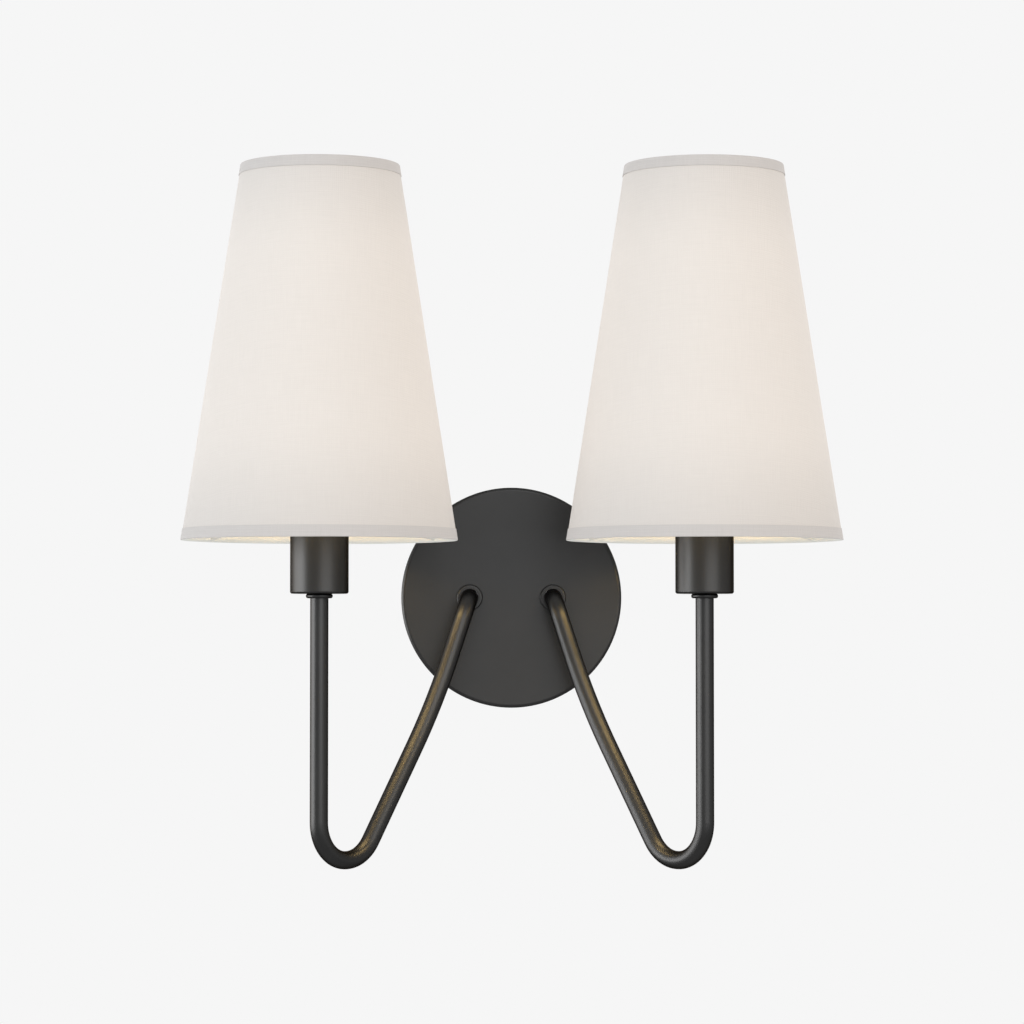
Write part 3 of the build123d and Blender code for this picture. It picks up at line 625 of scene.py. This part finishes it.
# %% Normals and faces of a strip
def normals_of(line):
    """The outward normal at each point of a line of (radius, height) points that runs upward."""
    result = []
    for i in range(len(line)):
        before, after = line[max(i - 1, 0)], line[min(i + 1, len(line) - 1)]
        along = (Vector(after) - Vector(before)).normalized()
        result.append(Vector((along.y, -along.x)))
    return result


def strip_faces(columns, count):
    """The faces of a strip whose columns hold count outer points and then count inner ones."""
    ring = 2 * count
    faces = []
    for column in range(columns):
        a, b = column * ring, (column + 1) * ring
        for i in range(count - 1):
            faces.append((a + i, b + i, b + i + 1, a + i + 1))
            faces.append((a + count + i + 1, b + count + i + 1, b + count + i, a + count + i))
        faces.append((a + count, b + count, b, a))
        faces.append((a + count - 1, b + count - 1, b + ring - 1, a + ring - 1))
    last = columns * ring
    for i in range(count - 1):
        faces.append((i, i + 1, count + i + 1, count + i))
        faces.append((last + i + 1, last + i, last + count + i, last + count + i + 1))
    return faces


# %% A strip of cloth round the axis
AROUND = 216
UNEVEN = 0.00008
UNEVEN_SIZE = 0.03
SHARP_EDGE = math.radians(40)


def strip(name, line, thickness, lap, flatten, over=1):
    """Carry a line with a thickness round the axis and lap its end over (1) or under (-1) its start."""
    outward = normals_of(line)
    lap_columns = round(AROUND * lap / (2 * math.pi * rim_radius))
    columns = AROUND + lap_columns
    corners, flat = [], []
    for column in range(columns + 1):
        turn = 2 * math.pi * column / AROUND
        climbed = min(max((column - AROUND) / lap_columns + 1, 0), 1)
        rise = over * (3 - 2 * climbed) * climbed * climbed * (thickness + GLUE_GAP)
        angle = SEAM_ANGLE + turn
        for depth in (0, thickness):
            for (r, z), out in zip(line, outward):
                spot = Vector((r * math.cos(turn), r * math.sin(turn), z)) / UNEVEN_SIZE
                move = rise - depth + UNEVEN * noise.noise(spot)
                radius = r + out.x * move
                corners.append((radius * math.cos(angle), radius * math.sin(angle), z + out.y * move))
                flat.append(flatten(turn, r, z))
    mesh = bpy.data.meshes.new(name)
    mesh.from_pydata(corners, [], strip_faces(columns, len(line)))
    layer = mesh.uv_layers.new(name="flat")
    for loop in mesh.loops:
        layer.data[loop.index].uv = flat[loop.vertex_index]
    mesh.shade_smooth()
    mesh.set_sharp_from_angle(angle=SHARP_EDGE)
    return mesh


# %% [markdown]
# The UV map holds the flat cut itself, in metres: on it a cone opens into a sector of a ring. The
# yarns then run straight on the flat cloth and lean on the finished shade just as real ones do,
# upright in the middle of the front and slanting towards the seam.


# %% Flat patterns for the UV maps
def cone_flat(turn, radius, height):
    """Where a point of the cone lies on its flat cut, which is upright opposite the seam."""
    reach = radius / math.sin(lean)
    angle = (turn - math.pi) * math.sin(lean)
    return reach * math.sin(angle), -reach * math.cos(angle)


def tape_flat(turn, radius, height):
    """Where a point of a straight tape lies: along the tape, and across it."""
    return turn * rim_radius, height + radius


# %% [markdown]
# The linen and the liner are straight in cross-section, from rim to rim. They stop a tape's
# thickness short of the shade's real ends, because the tape goes over their cut edges.

# %% Linen and liner
SHADE_ROWS = 48


def side_line(low, high, depth, rows):
    """The line of a layer from its low edge to its high edge."""
    heights = [low + (high - low) * row / rows for row in range(rows + 1)]
    return [(layer_radius(height, depth), height) for height in heights]


cut_low = bottom_low.z + TAPE_THICKNESS + GLUE_GAP
cut_high = top_high.z - TAPE_THICKNESS - GLUE_GAP
linen_depth = TAPE_THICKNESS + GLUE_GAP
liner_depth = linen_depth + LINEN_THICKNESS + GLUE_GAP / 2
linen_line = side_line(cut_low, cut_high, linen_depth, SHADE_ROWS)
liner_line = side_line(cut_low, cut_high, liner_depth, SHADE_ROWS)
linen_mesh = strip("linen_cover", linen_line, LINEN_THICKNESS, SEAM_LAP, cone_flat)
liner_mesh = strip("styrene_liner", liner_line, LINER_THICKNESS, SEAM_LAP, cone_flat, over=-1)
print("linen faces:", len(linen_mesh.polygons))

# %% [markdown]
# The tape is a band on the outside, folds round the rim, passes the hoop on the rim's side and
# curls round it to end beyond it. In cross-section that is a straight run, a tight corner,
# another run and a half circle.

# %% Folded tapes
CORNER_RADIUS = 0.0005
BAND_STEPS = 5
CORNER_STEPS = 6
CURL_STEPS = 14


def tape_line(edge, inward, band_end):
    """The outer face of a folded tape; inward is +1 where the shade lies above the edge."""
    hoop_height = edge + inward * (TAPE_THICKNESS + GLUE_GAP + HOOP_WIRE_RADIUS)
    hoop_radius = (hoop_high.x - hoop_low.x) / 2 - HOOP_WIRE_RADIUS
    if inward > 0:
        # The lower hoop lies as far inside the cone as the upper one, which was measured.
        hoop_radius = layer_radius(hoop_height, 0) - (layer_radius(hoop_centre, 0) - hoop_radius)
    corner_height = edge + inward * CORNER_RADIUS
    corner_centre = layer_radius(edge, 0) - CORNER_RADIUS
    points = []
    for step in range(BAND_STEPS + 1):
        height = band_end + (corner_height - band_end) * step / BAND_STEPS
        points.append((layer_radius(height, 0), height))
    for step in range(1, CORNER_STEPS + 1):
        turn = math.pi / 2 * step / CORNER_STEPS
        radius = corner_centre + CORNER_RADIUS * math.cos(turn)
        points.append((radius, corner_height - inward * CORNER_RADIUS * math.sin(turn)))
    curl = HOOP_WIRE_RADIUS + GLUE_GAP + TAPE_THICKNESS
    for step in range(CURL_STEPS + 1):
        turn = math.pi * step / CURL_STEPS
        points.append((hoop_radius - curl * math.sin(turn), hoop_height - inward * curl * math.cos(turn)))
    # The normals point outward only on a line that runs upward, so the lower tape's is reversed.
    return points[::-1] if inward > 0 else points


bottom_line = tape_line(bottom_low.z, 1, bottom_high.z)
top_line = tape_line(top_high.z, -1, top_low.z)
bottom_tape_mesh = strip("bottom_tape", bottom_line, TAPE_THICKNESS, TAPE_LAP, tape_flat)
top_tape_mesh = strip("top_tape", top_line, TAPE_THICKNESS, TAPE_LAP, tape_flat)
print("tape faces:", len(bottom_tape_mesh.polygons), "and", len(top_tape_mesh.polygons))

# %% [markdown]
# Both shades are alike, so each layer is made once and copied to its place. It rides on its
# shade's body, so that it turns with it, and it hides the plain solid that it stands for.

# %% Put the layers on both shades
LAYERS = {
    # piece: (mesh, slot, the node that it stands for)
    "linen_cover": (linen_mesh, "linen", "shade_panel"),
    "styrene_liner": (liner_mesh, "linen", None),
    "bottom_tape": (bottom_tape_mesh, "linen_tape", "shade_bottom_trim"),
    "top_tape": (top_tape_mesh, "linen_tape", "shade_top_trim"),
}

liner_finish = styrene_liner()
lamplit_finish = lamplit_tape()
for side, axis in shade_axes.items():
    for name, (mesh, slot, replaced) in LAYERS.items():
        copy = mesh.copy()
        copy.name = f"{side}_{name}"
        copy.materials.append(liner_finish if name == "styrene_liner" else finishes[slot])
        if slot == "linen_tape":
            copy.materials.append(lamplit_finish)
            for face in copy.polygons:
                inside = face.center.xy.length < layer_radius(face.center.z, liner_depth)
                face.material_index = int(inside)
        copy.transform(Matrix.Translation((axis.x, axis.y, 0)))
        piece = bpy.data.objects.new(f"{side}_{name}", copy)
        bpy.context.scene.collection.objects.link(piece)
        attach(piece, f"{side}_shade")
        if replaced:
            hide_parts(f"{side}_{replaced}")
